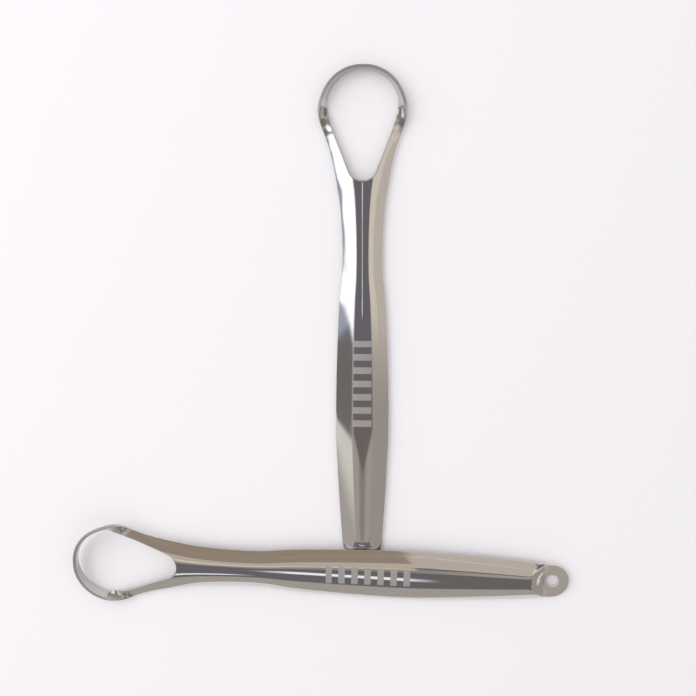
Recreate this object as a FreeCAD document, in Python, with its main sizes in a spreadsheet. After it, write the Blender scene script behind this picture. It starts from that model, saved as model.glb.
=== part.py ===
import FreeCAD, Part
import math
import os
import Sketcher

# A set of loop tongue scrapers, each one pressing of stainless sheet. All sizes in millimetres.
# A scraper is drawn lying on the table with its head towards +Y and its tail end at Y = 0.

doc = FreeCAD.newDocument("tongue_scrapers")
sheet = doc.addObject("Spreadsheet::Sheet", "Sizes")

DRIVING = {
    "length": 150.0,
    "thickness": 1.0,
    "bow": 0.4,
    "arch_rise": 2.0,
    "arch_start": 11.0,
    "tail_width": 11.1,
    "heel_width": 13.0,
    "rear_width": 14.3,
    "swell_width": 15.2,
    "palm_width": 15.0,
    "mid_width": 14.3,
    "fore_width": 13.1,
    "neck_width": 11.1,
    "throat_width": 11.7,
    "fork_width": 14.8,
    "tab_width": 10.5,
    "tab_length": 8.0,
    "hole_width": 3.8,
    "hole_at": 4.9,
    "loop_length": 32.0,
    "root_radius": 4.1,
    "front_length": 19.7,
    "arm_strip": 2.6,
    "arm_angle": 21.1,
    "rim_radius": 11.3,
    "rim_height": 3.2,
    "rim_side_tilt": 70.0,
    "rim_tip_tilt": 100.0,
    "twist_start": 1.5,
    "twist_length": 10.6,
    "cross_along": 61.7,
    "cross_past": 2.6,
    "cross_angle": 88.4,
    "rest_gap": 0.15,
}
for row, (alias, value) in enumerate(DRIVING.items(), start=1):
    sheet.set(f"A{row}", alias)
    sheet.set(f"B{row}", str(value))
    sheet.setAlias(f"B{row}", alias)
doc.recompute()


def size(alias):
    return float(sheet.get(alias))


def rebuild():
    doc.recompute()
    for piece in doc.Objects:
        if "Invalid" in piece.State or "Error" in piece.State:
            raise RuntimeError(f"{piece.Name} did not rebuild: {piece.State}")


STATIONS = [
    "tail", "heel", "rear", "swell", "palm", "mid", "fore", "neck", "throat", "fork", "arm",
]
STEPS = len(STATIONS) - 1
ACROSS = FreeCAD.Rotation(FreeCAD.Vector(1, 0, 0), 90)

# The arch ends where the arms run into the rim. An arm's middle line is a tangent of the rim's circle.
arch_end = size("length") - size("front_length")
rim_centre = size("length") - size("rim_radius") - size("thickness") / 2
arm_angle = math.radians(size("arm_angle"))
arm_middle = size("rim_radius") - (rim_centre - arch_end) * math.sin(arm_angle)
arm_middle = arm_middle / math.cos(arm_angle)
arm_outer = arm_middle + size("arm_strip") / 2
arm_inner = arm_middle - size("arm_strip") / 2
ARCH_END = "(Sizes.length - Sizes.front_length)"
ARM_FALL = "(Sizes.front_length - Sizes.rim_radius - Sizes.thickness / 2)"
ARM_MIDDLE = (
    f"((Sizes.rim_radius - {ARM_FALL} * sin(Sizes.arm_angle * 1 deg))"
    " / cos(Sizes.arm_angle * 1 deg))"
)


def station_at(index):
    start = size("arch_start")
    return start + (arch_end - start) * index / STEPS


def station_width(index):
    if index == STEPS:
        return 2 * arm_outer
    return size(STATIONS[index] + "_width")


def station_formula(index):
    if index == STEPS:
        return f"(2 * {ARM_MIDDLE} + Sizes.arm_strip)"
    return f"Sizes.{STATIONS[index]}_width"


def edge_height(y):
    along = 2 * y / size("length") - 1
    return size("thickness") / 2 + size("bow") * (1 - along**2)


def arch_radius(half):
    rise = size("arch_rise")
    return (half**2 + rise**2) / (2 * rise)


def half_width(y):
    spacing = (arch_end - size("arch_start")) / STEPS
    index = min(max(int((y - size("arch_start")) / spacing), 0), STEPS - 1)
    part = (y - station_at(index)) / spacing
    near = station_width(index)
    far = station_width(index + 1)
    return (near + (far - near) * part) / 2


def named(sketch, constraint, name, formula):
    index = sketch.addConstraint(constraint)
    sketch.renameConstraint(index, name)
    sketch.setExpression(f"Constraints.{name}", formula)


def arch_section(index):
    across = station_formula(index)
    y = station_at(index)
    half = station_width(index) / 2
    middle = arch_radius(half)
    below = middle - size("arch_rise") - edge_height(y)
    outer = middle + size("thickness") / 2
    inner = middle - size("thickness") / 2
    lean = math.asin(half / middle)
    first, last = math.pi / 2 - lean, math.pi / 2 + lean

    def point(radius, angle):
        return FreeCAD.Vector(radius * math.cos(angle), radius * math.sin(angle) - below, 0)

    centre = FreeCAD.Vector(0, -below, 0)
    up = FreeCAD.Vector(0, 0, 1)
    sketch = doc.addObject("Sketcher::SketchObject", f"arch_{STATIONS[index]}")
    sketch.Placement = FreeCAD.Placement(FreeCAD.Vector(0, y, 0), ACROSS)
    top = sketch.addGeometry(Part.ArcOfCircle(Part.Circle(centre, up, outer), first, last))
    under = sketch.addGeometry(Part.ArcOfCircle(Part.Circle(centre, up, inner), first, last))
    right = sketch.addGeometry(Part.LineSegment(point(inner, first), point(outer, first)))
    left = sketch.addGeometry(Part.LineSegment(point(outer, last), point(inner, last)))
    sketch.addConstraint([
        Sketcher.Constraint("Coincident", top, 1, right, 2),
        Sketcher.Constraint("Coincident", top, 2, left, 1),
        Sketcher.Constraint("Coincident", under, 2, left, 2),
        Sketcher.Constraint("Coincident", under, 1, right, 1),
        Sketcher.Constraint("Coincident", top, 3, under, 3),
        Sketcher.Constraint("PointOnObject", top, 3, -2),
        Sketcher.Constraint("PointOnObject", top, 3, right),
        Sketcher.Constraint("PointOnObject", top, 3, left),
    ])
    along = f"(Sizes.arch_start + ({ARCH_END} - Sizes.arch_start) * {index} / {STEPS})"
    radius = f"((({across} / 2)^2 + Sizes.arch_rise^2) / (2 * Sizes.arch_rise))"
    edge = f"(Sizes.thickness / 2 + Sizes.bow * (1 - (2 * {along} / Sizes.length - 1)^2))"
    reach = f"({radius} + Sizes.thickness / 2) * {across} / 2 / {radius}"
    end = outer * half / middle
    named(sketch, Sketcher.Constraint("DistanceY", top, 3, -1, 1, below), "centre",
          f"{radius} - Sizes.arch_rise - {edge}")
    named(sketch, Sketcher.Constraint("Radius", top, outer), "top_radius",
          f"{radius} + Sizes.thickness / 2")
    named(sketch, Sketcher.Constraint("Radius", under, inner), "under_radius",
          f"{radius} - Sizes.thickness / 2")
    named(sketch, Sketcher.Constraint("DistanceX", -1, 1, top, 1, end), "right_reach", reach)
    named(sketch, Sketcher.Constraint("DistanceX", top, 2, -1, 1, end), "left_reach", reach)
    sketch.setExpression("Placement.Base.y", along)
    return sketch


def tab_section(name, y, along):
    half = size("tab_width") / 2
    thick = size("thickness")
    corners = [(-half, 0), (-half, thick), (half, thick), (half, 0)]
    corners = [FreeCAD.Vector(x, z, 0) for x, z in corners]
    sketch = doc.addObject("Sketcher::SketchObject", name)
    sketch.Placement = FreeCAD.Placement(FreeCAD.Vector(0, y, 0), ACROSS)
    sides = [
        sketch.addGeometry(Part.LineSegment(corners[k - 1], corners[k])) for k in (2, 3, 0, 1)
    ]
    top, right, base, left = sides
    for k in range(4):
        sketch.addConstraint(Sketcher.Constraint("Coincident", sides[k - 1], 2, sides[k], 1))
    sketch.addConstraint([
        Sketcher.Constraint("Horizontal", base),
        Sketcher.Constraint("PointOnObject", base, 1, -1),
        Sketcher.Constraint("Vertical", right),
        Sketcher.Constraint("Vertical", left),
        Sketcher.Constraint("Symmetric", top, 1, top, 2, -2),
    ])
    named(sketch, Sketcher.Constraint("DistanceX", top, 1, top, 2, 2 * half), "width",
          "Sizes.tab_width")
    named(sketch, Sketcher.Constraint("DistanceY", right, 2, right, 1, thick), "thickness",
          "Sizes.thickness")
    sketch.setExpression("Placement.Base.y", along)
    return sketch


def loft(name, sections, ruled):
    solid = doc.addObject("Part::Loft", name)
    solid.Sections = sections
    solid.Solid = True
    solid.Ruled = ruled
    return solid


# The tail's tab lies flat on the table, and a short slope leads from it up to the arch.
arches = [arch_section(index) for index in range(len(STATIONS))]
handle = loft("handle", arches, False)
tab_end = tab_section("tab_end", 0.0, "0")
tab_root = tab_section("tab_root", size("tab_length"), "Sizes.tab_length")
tail = loft("tail", [tab_end, tab_root, arches[0]], True)
blank = doc.addObject("Part::MultiFuse", "blank")
blank.Shapes = [tail, handle]

# The opening between the arms: a round root, and straight sides that flare to the arms' ends.
root_radius = size("root_radius")
root_centre = size("length") - size("loop_length") + root_radius
root_to_arm = arch_end - root_centre
flare = math.acos(root_radius / math.hypot(arm_inner, root_to_arm))
flare -= math.atan(root_to_arm / arm_inner)
opening_far = arch_end + size("rim_radius")


def opening_half(y):
    return (root_radius + (y - root_centre) * math.sin(flare)) / math.cos(flare)


opening = doc.addObject("Sketcher::SketchObject", "opening")
up = FreeCAD.Vector(0, 0, 1)
touch = FreeCAD.Vector(
    root_radius * math.cos(flare), root_centre - root_radius * math.sin(flare), 0
)
corner = FreeCAD.Vector(opening_half(opening_far), opening_far, 0)
mirrored = [FreeCAD.Vector(-p.x, p.y, 0) for p in (touch, corner)]
circle = Part.Circle(FreeCAD.Vector(0, root_centre, 0), up, root_radius)
root = opening.addGeometry(Part.ArcOfCircle(circle, math.pi + flare, 2 * math.pi - flare))
right = opening.addGeometry(Part.LineSegment(touch, corner))
far = opening.addGeometry(Part.LineSegment(corner, mirrored[1]))
left = opening.addGeometry(Part.LineSegment(mirrored[1], mirrored[0]))
opening.addConstraint([
    Sketcher.Constraint("Tangent", root, 2, right, 1),
    Sketcher.Constraint("Coincident", right, 2, far, 1),
    Sketcher.Constraint("Coincident", far, 2, left, 1),
    Sketcher.Constraint("Tangent", left, 2, root, 1),
    Sketcher.Constraint("PointOnObject", root, 3, -2),
    Sketcher.Constraint("Symmetric", right, 2, left, 1, -2),
])
named(opening, Sketcher.Constraint("Radius", root, root_radius), "root_radius", "Sizes.root_radius")
named(opening, Sketcher.Constraint("DistanceY", -1, 1, root, 3, root_centre), "root_centre",
      "Sizes.length - Sizes.loop_length + Sizes.root_radius")
named(opening, Sketcher.Constraint("DistanceY", -1, 1, right, 2, opening_far), "far",
      f"{ARCH_END} + Sizes.rim_radius")
inner = f"({ARM_MIDDLE} - Sizes.arm_strip / 2)"
drop = "(Sizes.loop_length - Sizes.front_length - Sizes.root_radius)"
named(opening, Sketcher.Constraint("Angle", -1, 1, right, 1, math.pi / 2 - flare), "flare",
      f"90 deg - acos(Sizes.root_radius / sqrt({inner}^2 + {drop}^2)) + atan({drop} / {inner})")
opening_tool = doc.addObject("Part::Extrusion", "opening_tool")
opening_tool.Base = opening
opening_tool.DirMode = "Custom"
opening_tool.Dir = up
opening_tool.Solid = True
opening_tool.setExpression("LengthFwd", "4 * Sizes.arch_rise")

# The round end of the tab, cut by what lies outside a half circle, and the hanging hole.
end_box = doc.addObject("Part::Box", "end_box")
end_box.setExpression("Length", "2 * Sizes.tab_width")
end_box.setExpression("Width", "Sizes.tab_width")
end_box.setExpression("Height", "4 * Sizes.arch_rise")
end_box.setExpression("Placement.Base.x", "-Sizes.tab_width")
end_box.setExpression("Placement.Base.y", "-Sizes.tab_width / 2")
end_box.setExpression("Placement.Base.z", "-Sizes.arch_rise")
end_round = doc.addObject("Part::Cylinder", "end_round")
end_round.setExpression("Radius", "Sizes.tab_width / 2")
end_round.setExpression("Height", "4 * Sizes.arch_rise")
end_round.setExpression("Placement.Base.y", "Sizes.tab_width / 2")
end_round.setExpression("Placement.Base.z", "-Sizes.arch_rise")
end_tool = doc.addObject("Part::Cut", "end_tool")
end_tool.Base = end_box
end_tool.Tool = end_round

hole_tool = doc.addObject("Part::Cylinder", "hole_tool")
hole_tool.setExpression("Radius", "Sizes.hole_width / 2")
hole_tool.setExpression("Height", "4 * Sizes.thickness")
hole_tool.setExpression("Placement.Base.y", "Sizes.hole_at")
hole_tool.setExpression("Placement.Base.z", "-Sizes.thickness")
hole_middle = FreeCAD.Vector(0, size("hole_at"), size("thickness") / 2)
hole_axis = FreeCAD.Vector(0, 0, 1)

tools = doc.addObject("Part::MultiFuse", "tools")
tools.Shapes = [opening_tool, end_tool, hole_tool]
pressed = doc.addObject("Part::Cut", "pressed")
pressed.Base = blank
pressed.Tool = tools


# The rim: the two arms go on as one strip round the front. It turns over on the way, from the
# slope of the arch's flank to a nearly upright wall whose cut edge points up.
def smooth(part):
    part = min(max(part, 0.0), 1.0)
    return part * part * (3 - 2 * part)


def blend(start, end, part):
    return start + (end - start) * part


def closed_wire(points, top_middle=None, under_middle=None):
    top_inner, top_outer, under_outer, under_inner = points
    top = Part.makeLine(top_inner, top_outer)
    under = Part.makeLine(under_outer, under_inner)
    if top_middle is not None:
        top = Part.Arc(top_inner, top_middle, top_outer).toShape()
        under = Part.Arc(under_outer, under_middle, under_inner).toShape()
    sides = [top, Part.makeLine(top_outer, under_outer), under, Part.makeLine(under_inner, top_inner)]
    return Part.Wire(sides)


RIM_STEPS = 10


def mirror(points):
    return [FreeCAD.Vector(-p.x, p.y, p.z) for p in points]


def rim_wires():
    thick = size("thickness")
    middle = arch_radius(arm_outer)
    base = edge_height(arch_end) + size("arch_rise") - middle

    def on_arch(x, offset):
        return FreeCAD.Vector(x, arch_end, base + math.sqrt((middle + offset) ** 2 - x**2))

    lean = arm_outer / middle
    reach = [arm_outer + lean * thick / 2, arm_outer - lean * thick / 2]
    ends = [
        on_arch(arm_inner, thick / 2),
        on_arch(reach[0], thick / 2),
        on_arch(reach[1], -thick / 2),
        on_arch(arm_inner, -thick / 2),
    ]
    middles = [
        on_arch((arm_inner + reach[0]) / 2, thick / 2),
        on_arch((arm_inner + reach[1]) / 2, -thick / 2),
    ]
    arm_in = on_arch(arm_inner, 0)
    arm_out = on_arch(arm_outer, 0)
    arm_tilt = math.degrees(math.atan2(arm_out.z - arm_in.z, arm_out.x - arm_in.x))
    arm_chord = (arm_out - arm_in).Length
    arm_height = on_arch(arm_middle, 0).z

    radius = size("rim_radius")
    centre = FreeCAD.Vector(0, rim_centre, 0)
    straight = (rim_centre - arch_end - radius * math.sin(arm_angle)) / math.cos(arm_angle)
    whole = straight + radius * (math.pi / 2 + arm_angle)
    sections = []
    for step in range(1, RIM_STEPS + 1):
        gone = whole * step / RIM_STEPS
        angle = max(gone - straight, 0) / radius - arm_angle
        outward = FreeCAD.Vector(math.cos(angle), math.sin(angle), 0)
        onward = FreeCAD.Vector(-outward.y, outward.x, 0)
        place = centre + outward * radius - onward * max(straight - gone, 0)
        turned = smooth((gone - size("twist_start")) / size("twist_length"))
        forward = max(angle, 0) * 2 / math.pi
        steep = blend(size("rim_side_tilt"), size("rim_tip_tilt"), forward)
        tilt = math.radians(blend(arm_tilt, steep, turned))
        strip = blend(arm_chord, size("rim_height"), turned)
        steep = math.radians(steep)
        resting = (strip * math.sin(steep) + thick * abs(math.cos(steep))) / 2
        place = place + FreeCAD.Vector(0, 0, blend(arm_height, resting, turned))
        width = (outward * math.cos(tilt) + up * math.sin(tilt)) * (strip / 2)
        through = (up * math.cos(tilt) - outward * math.sin(tilt)) * (thick / 2)
        sections.append([
            place - width + through,
            place + width + through,
            place + width - through,
            place - width - through,
        ])
    wires = [closed_wire(ends, *middles)]
    wires += [closed_wire(points) for points in sections]
    wires += [closed_wire(mirror(points)) for points in reversed(sections[:-1])]
    wires.append(closed_wire(mirror(ends), *mirror(middles)))
    return wires


rim = doc.addObject("Part::Feature", "rim")
rim.Shape = Part.makeLoft(rim_wires(), True, False)

lower = doc.addObject("Part::MultiFuse", "lower_scraper")
lower.Label = "lower_scraper"
lower.Shapes = [pressed, rim]
rebuild()


# The upper scraper: the same pressing, laid across the lower one's tail. Its far long edge rests on
# the lower tail, and its near side touches the table at the tail's end and at the rim.
def lifts(roll):
    tail_y = size("tab_width") / 2
    tail_drop = tail_y * math.sin(roll)
    side = math.radians(size("rim_side_tilt"))
    rim_x = size("rim_radius") + size("thickness") / 2 * math.sin(side)
    rim_x -= size("rim_height") / 2 * math.cos(side)
    return tail_y, tail_drop, rim_centre, rim_x * math.sin(roll)


def tail_top(x, y):
    start = size("arch_start")
    middle = arch_radius(half_width(start))
    arch = edge_height(start) + size("arch_rise") - middle
    arch += math.sqrt((middle + size("thickness") / 2) ** 2 - x**2)
    up_slope = (y - size("tab_length")) / (start - size("tab_length"))
    return blend(size("thickness"), arch, min(max(up_slope, 0.0), 1.0))


def clearance_at(roll, offset):
    along = size("cross_along") - offset
    half = half_width(along)
    middle = arch_radius(half)
    x = half - size("thickness") / 2 * half / middle
    z = edge_height(along) - size("thickness") / 2 * math.sqrt(1 - (half / middle) ** 2)
    tail_y, tail_drop, rim_y, rim_drop = lifts(roll)
    lift = blend(tail_drop, rim_drop, (along - tail_y) / (rim_y - tail_y))
    edge_z = lift + x * math.sin(roll) + z * math.cos(roll)
    edge_y = size("cross_past") + x * math.cos(roll) - z * math.sin(roll)
    edge_y += offset * math.tan(math.radians(size("cross_angle") - 90))
    return edge_z - tail_top(offset, edge_y)


def clearance(roll):
    reach = size("tab_width") / 4
    return min(clearance_at(roll, offset) for offset in (-reach, 0.0, reach))


low_roll, high_roll = 0.0, math.radians(45)
for _ in range(40):
    roll = (low_roll + high_roll) / 2
    if clearance(roll) < size("rest_gap"):
        low_roll = roll
    else:
        high_roll = roll
tail_y, tail_drop, rim_y, rim_drop = lifts(roll)
pitch = math.atan((rim_drop - tail_drop) / (rim_y - tail_y))
lift = blend(tail_drop, rim_drop, (size("cross_along") - tail_y) / (rim_y - tail_y))

turn = FreeCAD.Rotation(FreeCAD.Vector(0, 0, 1), size("cross_angle"))
turn = turn.multiply(FreeCAD.Rotation(FreeCAD.Vector(1, 0, 0), math.degrees(pitch)))
turn = turn.multiply(FreeCAD.Rotation(FreeCAD.Vector(0, 1, 0), -math.degrees(roll)))
crossing = FreeCAD.Vector(0, size("cross_past"), lift)
start = crossing - turn.multVec(FreeCAD.Vector(0, size("cross_along"), 0))

upper = doc.addObject("Part::Feature", "upper_scraper")
upper.Label = "upper_scraper"
upper.Shape = lower.Shape.copy()
upper.Placement = FreeCAD.Placement(start, turn)
start.z -= upper.Shape.optimalBoundingBox().ZMin
upper.Placement = FreeCAD.Placement(start, turn)

# The origin is the bottom centre of the box that holds the set.
box = lower.Shape.optimalBoundingBox()
box.add(upper.Shape.optimalBoundingBox())
centre = FreeCAD.Vector(box.Center.x, box.Center.y, box.ZMin)
lower.Placement = FreeCAD.Placement(-centre, FreeCAD.Rotation())
upper.Placement = FreeCAD.Placement(start - centre, turn)
rebuild()

os.makedirs("parts", exist_ok=True)
for piece in (lower, upper):
    if piece.Shape.isNull() or not piece.Shape.isValid():
        raise RuntimeError(f"{piece.Label} has no valid shape")
    piece.Shape.exportStep(f"parts/{piece.Label}.step")
    middle = piece.Placement.multVec(hole_middle)
    axis = piece.Placement.Rotation.multVec(hole_axis)
    print(piece.Label, "volume", round(piece.Shape.Volume, 1), "solids", len(piece.Shape.Solids))
    print("  hole at", [round(v, 3) for v in middle], "axis", [round(v, 5) for v in axis])
print("roll", round(math.degrees(roll), 2), "pitch", round(math.degrees(pitch), 2))
print("box", [round(v, 3) for v in (box.XLength, box.YLength, box.ZLength)])
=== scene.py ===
import math

import bpy
from mathutils import Matrix, Vector


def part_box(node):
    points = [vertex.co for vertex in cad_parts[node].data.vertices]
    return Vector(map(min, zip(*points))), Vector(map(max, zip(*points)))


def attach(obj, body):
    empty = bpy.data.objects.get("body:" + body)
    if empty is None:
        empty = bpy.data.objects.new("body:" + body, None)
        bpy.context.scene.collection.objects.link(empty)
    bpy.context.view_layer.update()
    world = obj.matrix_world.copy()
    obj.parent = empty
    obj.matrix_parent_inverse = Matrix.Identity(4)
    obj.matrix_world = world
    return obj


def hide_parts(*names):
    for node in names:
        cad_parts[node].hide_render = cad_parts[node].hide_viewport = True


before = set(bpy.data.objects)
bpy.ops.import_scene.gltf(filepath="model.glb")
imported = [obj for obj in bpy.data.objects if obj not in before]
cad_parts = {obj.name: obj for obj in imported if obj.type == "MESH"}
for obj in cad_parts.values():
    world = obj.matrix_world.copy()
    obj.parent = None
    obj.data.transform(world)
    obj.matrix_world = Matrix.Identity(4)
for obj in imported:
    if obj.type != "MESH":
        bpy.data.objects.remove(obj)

scene = bpy.context.scene
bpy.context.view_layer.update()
mm = 0.001


# Plain arithmetic on a Field adds Math nodes to its node tree
class Field:
    def __init__(self, tree, socket):
        self.tree = tree
        self.socket = socket

    def math(self, operation, *others):
        node = self.tree.nodes.new("ShaderNodeMath")
        node.operation = operation
        for entry, value in zip(node.inputs, (self, *others)):
            feed(value, entry, self.tree)
        return Field(self.tree, node.outputs[0])

    def __add__(self, other):
        return self.math("ADD", other)

    def __sub__(self, other):
        return self.math("SUBTRACT", other)

    def __rsub__(self, other):
        return self.math("MULTIPLY_ADD", -1.0, other)

    def __mul__(self, other):
        return self.math("MULTIPLY", other)

    def __truediv__(self, other):
        return self.math("DIVIDE", other)

    __radd__ = __add__
    __rmul__ = __mul__

    def sine(self):
        return self.math("SINE")

    def cosine(self):
        return self.math("COSINE")

    def root(self):
        return self.math("SQRT")

    def least(self, other):
        return self.math("MINIMUM", other)

    def most(self, other):
        return self.math("MAXIMUM", other)


def feed(value, entry, tree):
    if isinstance(value, Field):
        tree.links.new(value.socket, entry)
    else:
        entry.default_value = value


def ramp(value, start, end, shape="LINEAR"):      # 0 at start, 1 at end, held outside them
    node = value.tree.nodes.new("ShaderNodeMapRange")
    node.interpolation_type = shape
    for name, given in (("Value", value), ("From Min", start), ("From Max", end)):
        feed(given, node.inputs[name], value.tree)
    return Field(value.tree, node.outputs["Result"])


def ease(value, start, end):
    return ramp(value, start, end, "SMOOTHSTEP")


def blend(low, high, part):
    return part * (high - low) + low


def splitVector(tree, socket):
    node = tree.nodes.new("ShaderNodeSeparateXYZ")
    tree.links.new(socket, node.inputs[0])
    return [Field(tree, out) for out in node.outputs]


def joinVector(tree, x, y, z):
    node = tree.nodes.new("ShaderNodeCombineXYZ")
    for value, entry in zip((x, y, z), node.inputs):
        feed(value, entry, tree)
    return node.outputs[0]


# The scraper: one pressing of sheet, lying with its tail end at Y = 0 and its head towards +Y.
# Sizes in millimetres, angles in degrees.
pressing = {
    "Length": 150.0,
    "Thickness": 1.0,
    "Bow": 0.4,                # how far the long edges lift in the middle
    "Arch Rise": 2.0,
    "Arch Start": 11.0,
    "Tab Width": 10.5,
    "Tab Length": 8.0,
    "Hole Width": 3.8,
    "Hole At": 4.9,
    "Loop Length": 32.0,       # from the opening's root to the front
    "Root Radius": 4.1,
    "Front Length": 19.7,      # from the arms' ends to the front
    "Arm Strip": 2.6,
    "Arm Angle": 21.1,
    "Rim Radius": 11.3,
    "Rim Height": 3.2,
    "Rim Side Tilt": 70.0,
    "Rim Tip Tilt": 100.0,
    "Twist Start": 1.5,
    "Twist Length": 10.6,
}
handleWidths = [11.1, 13.0, 14.3, 15.2, 15.0, 14.3, 13.1, 11.1, 11.7, 14.8, 20.73]   # tail to arms' ends
meshRows = {"hole": 26, "handle": 150, "root": 16, "arm": 16, "rim": 44}
meshColumns = 14
meshFlow = {"trail": 0.9, "leadEnd": 0.16, "trailStart": 0.8, "rootShare": 0.47, "done": 0.99999}
slopeEase = {"head": 0.3, "foot": 1.0}           # how far the tab's slope is softened
rimBlend = (-4.0, 2.0)                           # along the arm, where it becomes the rim
mapUnit = 100.0                                  # millimetres of sheet in one unit of the map
edgeRound = {"width": 0.16, "segments": 3, "sharpest": 50.0}       # the broken edge of the cut sheet


def pressTree(material):
    tree = bpy.data.node_groups.new("pressedSheet", "GeometryNodeTree")
    tree.interface.new_socket("Geometry", in_out="OUTPUT", socket_type="NodeSocketGeometry")
    for name, value in pressing.items():
        entry = tree.interface.new_socket(name, in_out="INPUT", socket_type="NodeSocketFloat")
        entry.default_value = value
    given = tree.nodes.new("NodeGroupInput")
    size = {name: Field(tree, given.outputs[name]) for name in pressing}
    length, thick, rise = size["Length"], size["Thickness"], size["Arch Rise"]
    archStart = size["Arch Start"]

    # One half of the sheet is a grid: rows run from the tail's tip round to the front's tip,
    # columns from the inner border (hole, middle line, opening) to the outer border
    rowTotal = sum(meshRows.values())
    grid = tree.nodes.new("GeometryNodeMeshGrid")
    for name, value in (("Size X", 1.0), ("Size Y", 1.0)):
        grid.inputs[name].default_value = value
    grid.inputs["Vertices X"].default_value = meshColumns + 1
    grid.inputs["Vertices Y"].default_value = rowTotal + 1
    place = tree.nodes.new("GeometryNodeInputPosition")
    gridX, gridY = splitVector(tree, place.outputs[0])[:2]
    across = gridX + 0.5
    row = (gridY + 0.5) * float(rowTotal)
    stage = {}
    firstRow = 0
    for name, count in meshRows.items():
        stage[name] = ramp(row, float(firstRow), float(firstRow + count))
        firstRow += count

    def edgeHeight(y):
        along = y * 2.0 / length - 1.0
        return (1.0 - along * along) * size["Bow"] + thick * 0.5

    tabHalf = size["Tab Width"] * 0.5
    holeRadius = size["Hole Width"] * 0.5

    # Head: straight arms that run as tangents into a round rim
    archEnd = length - size["Front Length"]
    armAngle = size["Arm Angle"].math("RADIANS")
    armSin, armCos = armAngle.sine(), armAngle.cosine()
    rimRadius = size["Rim Radius"]
    rimCentre = length - rimRadius - thick * 0.5
    armMiddle = (rimRadius - (rimCentre - archEnd) * armSin) / armCos
    armInner = armMiddle - size["Arm Strip"] * 0.5
    armOuter = armMiddle + size["Arm Strip"] * 0.5
    rootRadius = size["Root Radius"]
    rootAt = length - size["Loop Length"]
    rootToArm = archEnd - rootAt - rootRadius
    straight = (rimCentre - archEnd - rimRadius * armSin) / armCos
    armReach = (armInner * armInner + rootToArm * rootToArm).root()
    flare = (rootRadius / armReach).math("ARCCOSINE") - (rootToArm / armInner).math("ARCTANGENT")

    def halfWidth(y):
        widest = max(handleWidths)
        node = tree.nodes.new("ShaderNodeFloatCurve")
        node.mapping.extend = "EXTRAPOLATED"
        points = node.mapping.curves[0].points
        while len(points) < len(handleWidths):
            points.new(0.5, 0.5)
        for index, width in enumerate(handleWidths):
            points[index].location = (index / (len(handleWidths) - 1), width / widest)
            points[index].handle_type = "AUTO"
        node.mapping.update()
        feed((y - archStart) / (archEnd - archStart), node.inputs["Value"], tree)
        arch = Field(tree, node.outputs[0]) * (widest / 2)
        return blend(tabHalf, arch, ease(y, size["Tab Length"], archStart))

    # Inner border
    holeTurn = stage["hole"] * math.pi
    holeTop = size["Hole At"] + holeRadius
    rootTurn = stage["root"] * (math.pi / 2 - flare)
    touchX = rootRadius * flare.cosine()
    touchY = rootAt + rootRadius - rootRadius * flare.sine()
    endX = armMiddle - size["Arm Strip"] * 0.5 * armCos
    endY = archEnd + size["Arm Strip"] * 0.5 * armSin
    innerX = holeRadius * holeTurn.sine() + rootRadius * rootTurn.sine() + stage["arm"] * (endX - touchX)
    innerY = size["Hole At"] - holeRadius * holeTurn.cosine() + stage["handle"] * (rootAt - holeTop)
    innerY = innerY + rootRadius * (1.0 - rootTurn.cosine()) + stage["arm"] * (endY - touchY)

    # Outer border: it leads the inner one past the hole and trails it before the opening,
    # so that no row of faces is squeezed where the inner border turns
    lead = tabHalf
    trail = halfWidth(rootAt) * meshFlow["trail"]
    quarter = tabHalf * (math.pi / 2)
    gone = stage["hole"] * (quarter + holeTop + lead - tabHalf)
    endTurn = (gone / tabHalf).least(math.pi / 2)
    slant = lead * (1.0 - ease(stage["handle"], 0.0, meshFlow["leadEnd"]))
    slant = slant - trail * ease(stage["handle"], meshFlow["trailStart"], 1.0)
    tailY = tabHalf * (1.0 - endTurn.cosine()) + (gone - quarter).most(0.0)
    handleY = stage["handle"] * (rootAt - holeTop) + holeTop + slant
    armEndY = archEnd - size["Arm Strip"] * 0.5 * armSin
    armShare = stage["root"] * meshFlow["rootShare"] + stage["arm"] * (1.0 - meshFlow["rootShare"])
    onHandle = stage["hole"].math("GREATER_THAN", meshFlow["done"])
    outerY = blend(tailY, handleY, onHandle) + armShare * (armEndY - rootAt + trail)
    outerX = halfWidth(outerY) * endTurn.sine()

    # The flat blank, carried straight on past the arms' ends
    rimGone = stage["rim"] * (rimRadius * (math.pi / 2 + armAngle) + straight)
    flatX = blend(innerX, outerX, across) + rimGone * armSin
    flatY = blend(innerY, outerY, across) + rimGone * armCos

    # Pressed into an arch, with the tab left flat in a round about the hole
    half = halfWidth(flatY)
    archRadius = (half * half + rise * rise) / (rise * 2.0)
    archZ = edgeHeight(flatY) + rise - archRadius
    archZ = archZ + (archRadius * archRadius - flatX * flatX).most(0.0).root()
    pastHole = flatY - size["Hole At"]
    fromHole = (flatX * flatX + pastHole * pastHole).root()
    slopeFoot = size["Tab Length"] - size["Hole At"]
    slopeHead = archStart - size["Hole At"]
    arched = ease(fromHole, slopeFoot, slopeHead + slopeEase["head"])
    arched = arched * ease(pastHole, 0.0, slopeFoot + slopeEase["foot"])
    pressedZ = blend(thick * 0.5, archZ, arched)

    # The rim: a strip that turns over from the arm's slope to an upright wall
    armRadius = (armOuter * armOuter + rise * rise) / (rise * 2.0)
    armBase = edgeHeight(archEnd) + rise - armRadius

    def armHeight(x):
        return armBase + (armRadius * armRadius - x * x).root()

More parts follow.
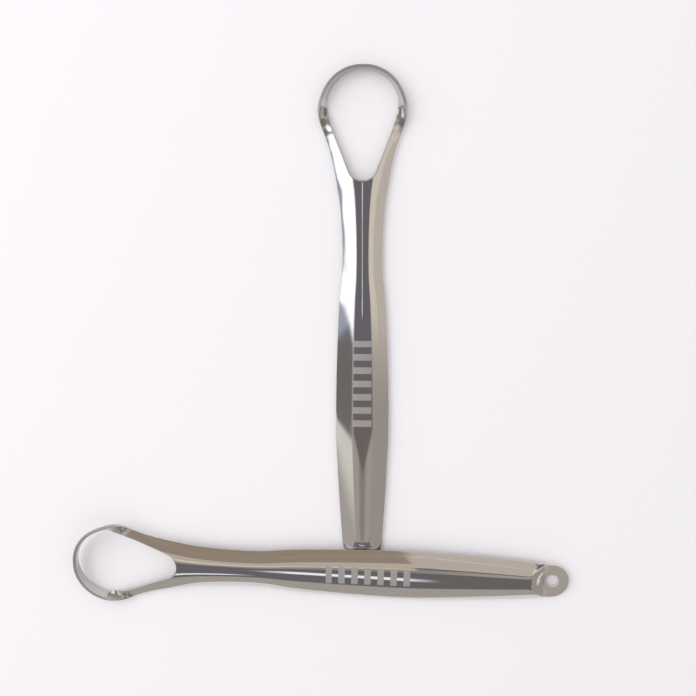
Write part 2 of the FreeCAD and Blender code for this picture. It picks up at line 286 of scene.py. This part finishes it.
    armFall = armHeight(armOuter) - armHeight(armInner)
    armTilt = (armFall / size["Arm Strip"]).math("ARCTANGENT")
    armChord = (armFall * armFall + size["Arm Strip"] * size["Arm Strip"]).root()
    armLength = ((endX - touchX) * (endX - touchX) + (endY - touchY) * (endY - touchY)).root()
    path = rimGone - (1.0 - stage["arm"]) * armLength
    angle = (path - straight).most(0.0) / rimRadius - armAngle
    outX, outY = angle.cosine(), angle.sine()
    behind = (straight - path).most(0.0)
    turned = ease(path, size["Twist Start"], size["Twist Start"] + size["Twist Length"])
    forward = angle.most(0.0) * (2 / math.pi)
    steep = blend(size["Rim Side Tilt"], size["Rim Tip Tilt"], forward).math("RADIANS")
    tilt = blend(armTilt, steep, turned)
    strip = blend(armChord, size["Rim Height"], turned)
    resting = (strip * steep.sine() + thick * steep.cosine().math("ABSOLUTE")) * 0.5
    middleZ = blend(armHeight(armMiddle), resting, turned)
    offset = strip * (across - 0.5)
    rimX = outX * rimRadius + outY * behind + outX * tilt.cosine() * offset
    rimY = rimCentre + outY * rimRadius - outX * behind + outY * tilt.cosine() * offset
    rimZ = middleZ + tilt.sine() * offset

    onRim = ease(path, *rimBlend) * stage["root"].math("GREATER_THAN", meshFlow["done"])
    x = blend(flatX, rimX, onRim)
    y = blend(flatY, rimY, onRim)
    z = blend(pressedZ, rimZ, onRim)

    # What the finish follows: a map along and across the sheet, and the distance from a cut edge
    mapX = blend(flatX, armMiddle + offset, onRim)
    mapY = blend(flatY, archEnd + path, onRim)
    spanX, spanY = outerX - innerX, outerY - innerY
    span = blend((spanX * spanX + spanY * spanY).root(), strip, onRim)
    fromCut = stage["handle"].least(1.0 - stage["handle"]) * (rootAt - holeTop)
    edgeGap = ((1.0 - across) * span).least(across * span + fromCut)

    halves = tree.nodes.new("GeometryNodeJoinGeometry")
    for side in (1.0, -1.0):
        mapped = tree.nodes.new("GeometryNodeStoreNamedAttribute")
        mapped.data_type, mapped.domain = "FLOAT2", "CORNER"
        mapped.inputs["Name"].default_value = "UVMap"
        sheetPlace = joinVector(tree, mapX * (side / mapUnit), mapY / mapUnit, 0.0)
        tree.links.new(sheetPlace, mapped.inputs["Value"])
        tree.links.new(grid.outputs["Mesh"], mapped.inputs["Geometry"])
        edged = tree.nodes.new("GeometryNodeStoreNamedAttribute")
        edged.data_type, edged.domain = "FLOAT", "POINT"
        edged.inputs["Name"].default_value = "edgeGap"
        tree.links.new(edgeGap.socket, edged.inputs["Value"])
        tree.links.new(mapped.outputs[0], edged.inputs["Geometry"])
        moved = tree.nodes.new("GeometryNodeSetPosition")
        tree.links.new(joinVector(tree, x * (side * mm), y * mm, z * mm), moved.inputs["Position"])
        tree.links.new(edged.outputs[0], moved.inputs["Geometry"])
        last = moved
        if side < 0:
            last = tree.nodes.new("GeometryNodeFlipFaces")
            tree.links.new(moved.outputs[0], last.inputs[0])
        tree.links.new(last.outputs[0], halves.inputs[0])
    closed = tree.nodes.new("GeometryNodeMergeByDistance")
    closed.inputs["Distance"].default_value = 0.001 * mm
    smoothed = tree.nodes.new("GeometryNodeSetShadeSmooth")
    realized = tree.nodes.new("GeometryNodeRealizeInstances")
    finished = tree.nodes.new("GeometryNodeSetMaterial")
    finished.inputs["Material"].default_value = material
    result = tree.nodes.new("NodeGroupOutput")
    chain = [halves, closed, smoothed, realized, finished, result]
    for before, after in zip(chain, chain[1:]):
        tree.links.new(before.outputs[0], after.inputs[0])
    return tree


def pressedMesh(material):
    blank = bpy.data.objects.new("blank", bpy.data.meshes.new("blank"))
    scene.collection.objects.link(blank)
    tree = pressTree(material)
    press = blank.modifiers.new("press", "NODES")
    press.node_group = tree
    for entry in tree.interface.items_tree:
        if entry.in_out == "INPUT":
            press[entry.identifier] = pressing[entry.name]
    wall = blank.modifiers.new("wall", "SOLIDIFY")
    wall.thickness = pressing["Thickness"] * mm
    wall.offset = 0.0
    wall.use_even_offset = True
    wall.use_quality_normals = True
    broken = blank.modifiers.new("brokenEdge", "BEVEL")
    broken.width = edgeRound["width"] * mm
    broken.segments = edgeRound["segments"]
    broken.limit_method = "ANGLE"
    broken.angle_limit = math.radians(edgeRound["sharpest"])
    weighted = blank.modifiers.new("evenShading", "WEIGHTED_NORMAL")
    weighted.keep_sharp = False
    bpy.context.view_layer.update()
    shaped = blank.evaluated_get(bpy.context.evaluated_depsgraph_get())
    mesh = bpy.data.meshes.new_from_object(shaped)
    bpy.data.objects.remove(blank)
    upper = mesh.attributes.new("upperSide", "FLOAT", "FACE")      # the mark is on one side only
    upper.data.foreach_set("value", [float(face.normal.z > 0.0) for face in mesh.polygons])
    return mesh


# How the upper scraper lies, leaning on the lower one's tail. Degrees about X, Y and Z.
layout = (0.32, -7.14, 88.4)


def turned(x, y, z):      # about Y first, then X, then Z
    angles = ((z, "Z"), (x, "X"), (y, "Y"))
    turnZ, turnX, turnY = (Matrix.Rotation(math.radians(angle), 4, axis) for angle, axis in angles)
    return turnZ @ turnX @ turnY


def placePiece(mesh, name, node, body, rotation):
    piece = bpy.data.objects.new(name, mesh)
    scene.collection.objects.link(piece)
    mesh.transform(rotation)
    low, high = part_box(node)
    lowest = Vector(min(v.co[axis] for v in mesh.vertices) for axis in range(3))
    highest = Vector(max(v.co[axis] for v in mesh.vertices) for axis in range(3))
    shift = (low + high - lowest - highest) / 2
    shift.z = low.z - lowest.z
    mesh.transform(Matrix.Translation(shift))
    print(name, "moved by", [round(v / mm, 3) for v in shift], "size", [
        round(v / mm, 3) for v in highest - lowest], "node size", [round(v / mm, 3) for v in high - low])
    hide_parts(node)
    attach(piece, body)
    return piece


# Polished stainless steel. Places are in millimetres along and across the sheet.
steel = {
    "color": (0.69, 0.685, 0.68, 1.0),
    "rubbedColor": (0.63, 0.62, 0.61, 1.0),
    # Painted sheen: the tab's base colour is lighter and warmer than the steel, in place of the pale
    # beige it mirrors
    "tabPaintedSheenColor": (0.86, 0.835, 0.80, 1.0),
    "polish": 0.05,            # roughness of the clean mirror
    "rubbed": 0.12,
    "satin": 0.48,             # cut edges and the tab
    "edgeWidth": 0.14,
    "tabEnd": (7.1, 8.1),      # where the satin fades into the mirror
    # Painted shade: from the loop's corners round the rim the base colour is darker than the steel; the
    # higher roughness there is a real satin
    "rimStart": (131.5, 134.5),
    "rimPaintedShadeColor": (0.61, 0.605, 0.605, 1.0),
    "rimRough": 0.22,
    "lines": {"across": 2.6, "along": 0.09, "layer": 0.0, "detail": 4.0, "range": (0.50, 0.72)},
    "smudges": {"across": 0.16, "along": 0.10, "layer": 3.0, "detail": 3.0, "range": (0.42, 0.66)},
    "waves": {"across": 0.05, "along": 0.06, "layer": 7.0, "detail": 1.0},
    "waveDepth": 0.015,
    "lineDepth": 0.02,         # as a share of the waves
}
# A plain etched row of bars on the handle
mark = {"from": 47.3, "to": 72.5, "pitch": 3.9, "bar": 1.9, "height": 5.2, "soft": 0.1,
        "color": (0.38, 0.37, 0.355, 1.0), "roughness": 0.55, "metal": 0.25}


def between(value, low, high, soft):
    return ease(value, low - soft, low + soft) * (1.0 - ease(value, high - soft, high + soft))


def paint(under, color, mask):
    node = mask.tree.nodes.new("ShaderNodeMix")
    node.data_type = "RGBA"
    for value, index in ((mask, 0), (under, 6), (color, 7)):
        feed(value, node.inputs[index], mask.tree)
    return Field(mask.tree, node.outputs[2])


def grain(tree, across, along, size):
    node = tree.nodes.new("ShaderNodeTexNoise")
    place = joinVector(tree, across * size["across"], along * size["along"], size["layer"])
    tree.links.new(place, node.inputs["Vector"])
    node.inputs["Scale"].default_value = 1.0
    node.inputs["Detail"].default_value = size["detail"]
    return Field(tree, node.outputs[0])


def stored(tree, name):
    node = tree.nodes.new("ShaderNodeAttribute")
    node.attribute_name = name
    return Field(tree, node.outputs["Fac"])


def polishedSteel():
    material = bpy.data.materials.new("polishedSteel")
    material.use_nodes = True
    tree = material.node_tree
    shader = tree.nodes["Principled BSDF"]
    sheet = tree.nodes.new("ShaderNodeUVMap")
    sheet.uv_map = "UVMap"
    across, along = splitVector(tree, sheet.outputs[0])[:2]
    across, along = across * mapUnit, along * mapUnit
    edge = 1.0 - ease(stored(tree, "edgeGap"), 0.0, steel["edgeWidth"])
    tab = 1.0 - ease(along, *steel["tabEnd"])
    rim = ease(along, *steel["rimStart"])

    # Rubbing lines run along the sheet, smudges lie anywhere
    lines = grain(tree, across, along, steel["lines"])
    smudges = grain(tree, across, along, steel["smudges"])
    rubbed = ease(lines, *steel["lines"]["range"]) * ease(smudges, *steel["smudges"]["range"])

    # The etched row
    step = (along - mark["from"]) / mark["pitch"]
    intoStep = step.math("FRACT") * mark["pitch"]
    inBar = 1.0 - ease(intoStep, mark["bar"] - mark["soft"], mark["bar"] + mark["soft"])
    inRow = between(along, mark["from"], mark["to"], mark["soft"] / 2)
    inRow = inRow * between(across, -mark["height"] / 2, mark["height"] / 2, mark["soft"])
    etched = inBar * inRow * stored(tree, "upperSide")

    color = paint(steel["color"], steel["rubbedColor"], rubbed)
    # Painted shade: the rim and the loop's corners get a darker base colour
    color = paint(color, steel["rimPaintedShadeColor"], rim)
    # Painted sheen: the tab gets a lighter, warmer base colour; its satin roughness is real
    color = paint(color, steel["tabPaintedSheenColor"], tab)
    color = paint(color, mark["color"], etched)
    rough = blend(steel["polish"], steel["rubbed"], rubbed)
    rough = blend(rough, steel["rimRough"], rim)
    rough = blend(rough, steel["satin"], edge.most(tab))
    rough = blend(rough, mark["roughness"], etched)
    tree.links.new(color.socket, shader.inputs["Base Color"])
    tree.links.new(rough.socket, shader.inputs["Roughness"])
    feed(1.0 - etched * (1.0 - mark["metal"]), shader.inputs["Metallic"], tree)

    waves = grain(tree, across, along, steel["waves"])
    bump = tree.nodes.new("ShaderNodeBump")
    bump.inputs["Distance"].default_value = steel["waveDepth"] * mm
    feed(waves + lines * steel["lineDepth"], bump.inputs["Height"], tree)
    tree.links.new(bump.outputs[0], shader.inputs["Normal"])
    return material


steelFinish = polishedSteel()
sheetMesh = pressedMesh(steelFinish)
print("pressed sheet:", len(sheetMesh.vertices), "points")
lowerPiece = placePiece(sheetMesh.copy(), "lowerScraper", "lower_scraper", "lower", Matrix.Identity(4))
upperPiece = placePiece(sheetMesh.copy(), "upperScraper", "upper_scraper", "upper", turned(*layout))

# Table, light and camera
table = {"size": 4.0, "gap": 0.02, "color": (0.955, 0.932, 0.955, 1.0), "roughness": 0.8}


def makeTable():
    half = table["size"] / 2
    mesh = bpy.data.meshes.new("table")
    low = -table["gap"] * mm
    corners = [(-half, -half, low), (half, -half, low), (half, half, low), (-half, half, low)]
    mesh.from_pydata(corners, [], [(0, 1, 2, 3)])
    floor = bpy.data.objects.new("table", mesh)
    scene.collection.objects.link(floor)
    material = bpy.data.materials.new("paleTable")
    material.use_nodes = True
    tree = material.node_tree
    shader = tree.nodes["Principled BSDF"]
    shader.inputs["Base Color"].default_value = table["color"]
    shader.inputs["Roughness"].default_value = table["roughness"]
    # Seen from below the table is clear, so that the undersides show
    side = tree.nodes.new("ShaderNodeNewGeometry")
    clear = tree.nodes.new("ShaderNodeBsdfTransparent")
    either = tree.nodes.new("ShaderNodeMixShader")
    tree.links.new(side.outputs["Backfacing"], either.inputs[0])
    tree.links.new(shader.outputs[0], either.inputs[1])
    tree.links.new(clear.outputs[0], either.inputs[2])
    tree.links.new(either.outputs[0], tree.nodes["Material Output"].inputs["Surface"])
    mesh.materials.append(material)


makeTable()
print("table laid")

# A soft lamp, back on the left. Metres and watts.
lamp = {"power": 3.7, "size": 0.9, "place": (-0.62, 0.32, 0.52)}


def makeLamp():
    light = bpy.data.lights.new("window", "AREA")
    light.energy = lamp["power"]
    light.size = lamp["size"]
    holder = bpy.data.objects.new("window", light)
    holder.location = lamp["place"]
    holder.rotation_euler = (-Vector(lamp["place"])).to_track_quat("-Z", "Y").to_euler()
    holder.visible_glossy = False
    scene.collection.objects.link(holder)


makeLamp()

# Dim strip lights high above the table, each kept to one scraper. From and to are degrees
# from straight up, to the right and to the back.
strips = {
    "height": 5.0,
    "pale": {"piece": upperPiece, "right": (-26.0, 4.0), "back": (-17.5, -3.5),
             "shine": (0.44, 0.38, 0.29)},
    "brown": {"piece": upperPiece, "right": (-26.0, 4.0), "back": (-3.5, 13.0),
              "shine": (0.21, 0.14, 0.06)},
    "beige": {"piece": upperPiece, "right": (4.0, 26.0), "back": (-11.0, 13.0),
              "shine": (0.46, 0.39, 0.31)},
    "line": {"piece": lowerPiece, "right": (-2.5, -0.9), "back": (-1.5, 10.7),
             "shine": (1.0, 1.0, 1.0)},
}


def stripReach(angles):
    return [strips["height"] * math.tan(math.radians(angle)) for angle in angles]


def makeStrip(name):
    strip = strips[name]
    reach = [stripReach(strip["right"]), stripReach(strip["back"])]
    light = bpy.data.lights.new(name + "Strip", "AREA")
    light.shape = "RECTANGLE"
    light.size, light.size_y = (high - low for low, high in reach)
    brightest = max(strip["shine"])
    light.color = [value / brightest for value in strip["shine"]]
    light.energy = brightest * math.pi * light.size * light.size_y
    holder = bpy.data.objects.new(name + "Strip", light)
    holder.location = (sum(reach[0]) / 2, sum(reach[1]) / 2, strips["height"])
    holder.visible_camera = False
    scene.collection.objects.link(holder)
    lit = bpy.data.collections.new(name + "Lit")
    lit.objects.link(strip["piece"])
    holder.light_linking.receiver_collection = lit


for stripName in ("pale", "brown", "beige", "line"):
    makeStrip(stripName)
print("strip lights hung")

# The room above the table, which the steel mirrors: patches painted one over the other. Right and
# back are degrees from straight up, as start, end and softness. A lean tips the patch's front and
# back borders, a point bends them to a tip in the middle.
far = 200.0
everywhere = (-far, far, 1.0)
leftSide = (-far, -23.7, 2.0)
overhead = (-26.0, 24.0, 1.0)
onPanel = (-21.2, 20.8, 1.2)
darkGrey = (0.18, 0.168, 0.19)
bright = (1.2, 1.2, 1.2)
room = {
    "rightLow": {"right": everywhere, "back": everywhere, "color": (0.42, 0.38, 0.34)},
    "rightHigh": {"right": everywhere, "back": (-4.5, far, 5.5), "color": (0.66, 0.585, 0.52)},
    "rightLit": {"right": (21.3, 39.0, 3.0), "back": (-1.75, far, 2.75), "color": (0.82, 0.73, 0.63)},
    "leftLow": {"right": leftSide, "back": everywhere, "color": (0.86, 0.82, 0.75)},
    "leftLowest": {"right": leftSide, "back": (-far, -17.8, 3.8), "color": (0.50, 0.46, 0.42)},
    "leftDim": {"right": leftSide, "back": (-12.1, far, 0.4), "color": (0.20, 0.19, 0.18)},
    "leftBlue": {"right": leftSide, "back": (-1.75, far, 0.75), "color": (0.44, 0.48, 0.58)},
    "window": {"right": leftSide, "back": (-7.14, far, 0.79), "lean": 0.159, "color": (1.55, 1.55, 1.55)},
    "stripe": {"right": (-22.7, 21.3, 1.2), "back": everywhere, "color": (0.46, 0.42, 0.38)},
    "stripeDim": {"right": (-8.7, 6.3, 4.0), "back": (-20.0, -12.0, 1.0), "color": (0.32, 0.29, 0.265)},
    "panelTip": {"right": onPanel, "back": (-14.4, far, 0.17), "point": 0.143,
                 "color": (0.20, 0.165, 0.16)},
    "panel": {"right": onPanel, "back": (-6.5, far, 3.5), "color": darkGrey},
    "backWall": {"right": overhead, "back": (13.0, far, 0.5), "color": (0.39, 0.31, 0.24)},
    "backLit": {"right": (4.0, 24.0, 1.5), "back": (13.0, far, 0.5), "color": (0.66, 0.58, 0.51)},
    "leftWing": {"right": (-far, -26.0, 1.0), "back": (11.5, 40.0, 0.6), "color": darkGrey},
    "rightWing": {"right": (24.0, far, 1.0), "back": (11.5, 40.0, 0.6), "color": darkGrey},
    "front": {"right": (-28.0, 25.0, 1.5), "back": (-60.5, -21.5, 1.0), "color": darkGrey},
    "frontRight": {"right": (4.2, 25.0, 1.5), "back": (-60.5, -21.5, 1.0), "color": (0.18, 0.17, 0.165)},
    "streak": {"right": (-9.0, 3.3, 2.0), "back": (-41.0, -34.5, 0.8), "lean": 0.55, "color": bright},
    "glint": {"right": (-24.0, -13.0, 1.5), "back": (-53.5, -49.5, 0.8), "color": bright},
    "frontWall": {"right": everywhere, "back": (-far, -62.0, 1.5), "color": (0.48, 0.44, 0.40)},
}
# What lies below the horizon, the soft light on the table, and the background
around = {"horizon": (88.0, 94.0), "below": (0.62, 0.60, 0.58, 1.0),
          "softLight": (0.772, 0.766, 0.772, 1.0), "background": (1.0, 1.0, 1.0, 1.0)}


def patchMask(patch, right, back):
    depth = back
    if "lean" in patch:
        depth = back + right * patch["lean"]
    if "point" in patch:
        middle = sum(patch["right"][:2]) / 2
        depth = back - (right - middle).math("ABSOLUTE") * patch["point"]
    return between(right, *patch["right"]) * between(depth, *patch["back"])


def makeWorld():
    world = bpy.data.worlds.new("room")
    scene.world = world
    world.use_nodes = True
    tree = world.node_tree
    toward = tree.nodes.new("ShaderNodeTexCoord")
    x, y, z = splitVector(tree, toward.outputs["Generated"])
    fromTop = z.math("ARCCOSINE").math("DEGREES")
    level = (x * x + y * y).root().most(0.00001)
    right, back = fromTop * x / level, fromTop * y / level

    seen = around["below"]
    for patch in room.values():
        seen = paint(seen, (*patch["color"], 1.0), patchMask(patch, right, back))
    seen = paint(seen, around["below"], ease(fromTop, *around["horizon"]))

    # Only mirrored rays see the patches
    path = tree.nodes.new("ShaderNodeLightPath")
    mirrored = Field(tree, path.outputs["Is Glossy Ray"])
    camera = Field(tree, path.outputs["Is Camera Ray"])
    seen = paint(around["softLight"], seen, mirrored)
    seen = paint(seen, around["background"], camera)
    tree.links.new(seen.socket, tree.nodes["Background"].inputs["Color"])
    print("room built")


makeWorld()

# The camera. Millimetres, and degrees about X, Y and Z.
view = {
    "place": (20.74, 15.09, 220.40),
    "tilt": (-6.34, 3.29, 0.28),
    "lens": 38.81,
    "shift": (0.005, 0.042),
}


def makeCamera():
    camera = bpy.data.cameras.new("camera")
    camera.lens = view["lens"]
    camera.sensor_width = 36.0
    camera.shift_x, camera.shift_y = view["shift"]
    camera.clip_start = 0.01
    holder = bpy.data.objects.new("camera", camera)
    holder.matrix_world = Matrix.Translation(Vector(view["place"]) * mm) @ turned(*view["tilt"])
    scene.collection.objects.link(holder)
    scene.camera = holder


makeCamera()
print("camera placed")
scene.view_settings.view_transform = "Standard"
